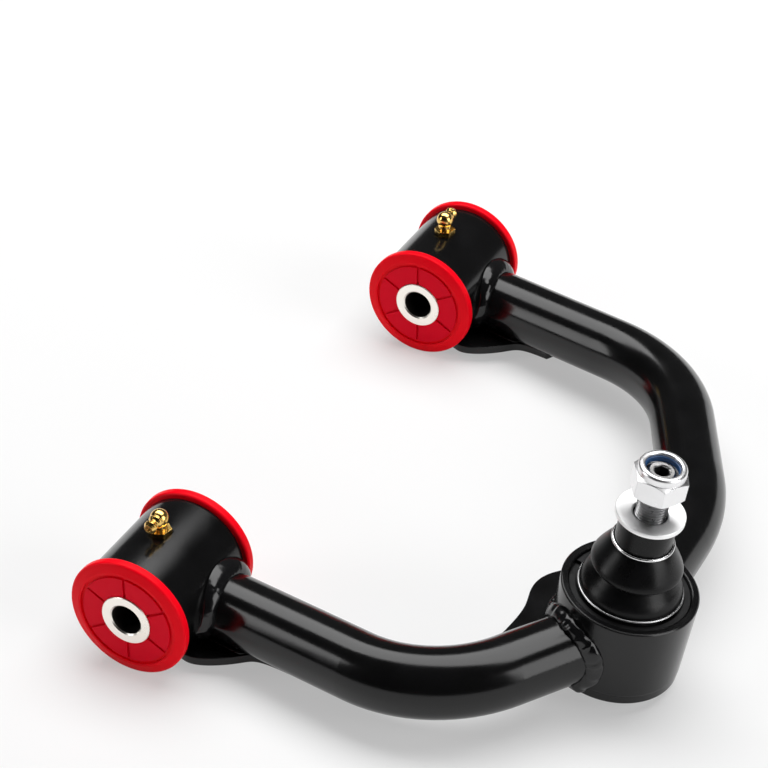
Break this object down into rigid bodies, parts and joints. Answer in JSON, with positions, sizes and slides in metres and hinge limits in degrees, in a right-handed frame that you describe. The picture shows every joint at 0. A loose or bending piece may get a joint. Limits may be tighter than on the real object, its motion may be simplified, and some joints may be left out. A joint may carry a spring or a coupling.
{
  "type": "control arm",
  "caption": "Tubular upper control arm with polyurethane pivot bushings on steel sleeves, a welded ball joint cup, and a booted ball stud with a lock nut.",
  "frame": {"origin": "middle of the pivot axis, halfway between the two bushings", "axes": "+Y along the pivot bolt, from the front bushing to the rear one; +X from the pivots towards the ball joint; +Z the side of the stud and the grease nipples"},
  "size_m": [0.2574, 0.3512, 0.1221],
  "materials": {
    "black_paint": "gloss powder coat",
    "red_urethane": "cast polyurethane, satin",
    "sleeve_steel": "turned and zinc plated",
    "nipple_brass": "yellow zinc",
    "spring_steel": "bright wire",
    "dark_steel": "dark phosphate",
    "boot_rubber": "satin moulded",
    "shell_plastic": "moulded acetal",
    "zinc_plate": "zinc plated",
    "insert_nylon": "nylon"
  },
  "bodies": {
    "arm": {"front_bushing_housing": "black_paint", "front_leg_tube": "black_paint", "front_gusset_plate": "black_paint", "front_bushing_front_half": "red_urethane", "front_bushing_rear_half": "red_urethane", "front_grease_nipple": "nipple_brass", "front_check_spring": "spring_steel", "rear_bushing_housing": "black_paint", "rear_leg_tube": "black_paint", "rear_gusset_plate": "black_paint", "rear_bushing_front_half": "red_urethane", "rear_bushing_rear_half": "red_urethane", "rear_grease_nipple": "nipple_brass", "rear_check_spring": "spring_steel", "cup_web": "black_paint", "ball_joint_cup": "black_paint", "end_cap": "black_paint", "joint_body": "dark_steel", "snap_ring": "dark_steel", "pressure_plate": "dark_steel", "preload_spring": "spring_steel", "closing_plate": "dark_steel", "dust_boot": "boot_rubber", "boot_base_ring": "spring_steel"},
    "bearing_shell": {"bearing_shell": "shell_plastic"},
    "boot_collar": {"boot_neck_ring": "spring_steel"},
    "ball_stud": {"ball_stud": "dark_steel"},
    "washer": {"stud_washer": "zinc_plate"},
    "nut_thread": {"nylon_insert": "insert_nylon"},
    "lock_nut": {"lock_nut": "zinc_plate"},
    "front_sleeve": {"front_sleeve": "sleeve_steel"},
    "rear_sleeve": {"rear_sleeve": "sleeve_steel"},
    "front_check_ball": {"front_check_ball": "spring_steel"},
    "rear_check_ball": {"rear_check_ball": "spring_steel"}
  },
  "joints": [
    {"name": "tilt_across", "type": "hinge", "parent": "arm", "child": "bearing_shell", "pos_m": [0.19445, -0.0774, 0.00174], "axis": [0.9877, 0, -0.1564], "range_deg": [-20, 20], "deforming": ["dust_boot"]},
    {"name": "tilt_along", "type": "hinge", "parent": "bearing_shell", "child": "boot_collar", "pos_m": [0.19445, -0.0774, 0.00174], "axis": [0, 1, 0], "range_deg": [-20, 20]},
    {"name": "stud_spin", "type": "hinge", "parent": "boot_collar", "child": "ball_stud", "pos_m": [0.19445, -0.0774, 0.00174], "axis": [0.1564, 0, 0.9877], "continuous": true},
    {"name": "washer_slide", "type": "slide", "parent": "ball_stud", "child": "washer", "axis": [0.1564, 0, 0.9877], "range_m": [0, 0.0114]},
    {"name": "nut_travel", "type": "slide", "parent": "ball_stud", "child": "nut_thread", "axis": [0.1564, 0, 0.9877], "range_m": [-0.0114, 0.0112]},
    {"name": "nut_turn", "type": "hinge", "parent": "nut_thread", "child": "lock_nut", "pos_m": [0.20709, -0.0774, 0.08155], "axis": [0.1564, 0, 0.9877], "range_deg": [-2736, 2688]},
    {"name": "front_sleeve_turn", "type": "hinge", "parent": "arm", "child": "front_sleeve", "pos_m": [0, -0.1435, 0], "axis": [0, 1, 0], "continuous": true},
    {"name": "rear_sleeve_turn", "type": "hinge", "parent": "arm", "child": "rear_sleeve", "pos_m": [0, 0.1435, 0], "axis": [0, 1, 0], "continuous": true},
    {"name": "front_check_slide", "type": "slide", "parent": "arm", "child": "front_check_ball", "axis": [0, 1, 0], "range_m": [0, 0.0006], "stiffness_N_per_m": 200, "springref_m": -0.0004, "deforming": ["front_check_spring"]},
    {"name": "rear_check_slide", "type": "slide", "parent": "arm", "child": "rear_check_ball", "axis": [0, -1, 0], "range_m": [0, 0.0006], "stiffness_N_per_m": 200, "springref_m": -0.0004, "deforming": ["rear_check_spring"]}
  ],
  "couplings": [
    {"joint": "nut_travel", "follows": "nut_turn", "m_per_rad": 0.00023873}
  ]
}
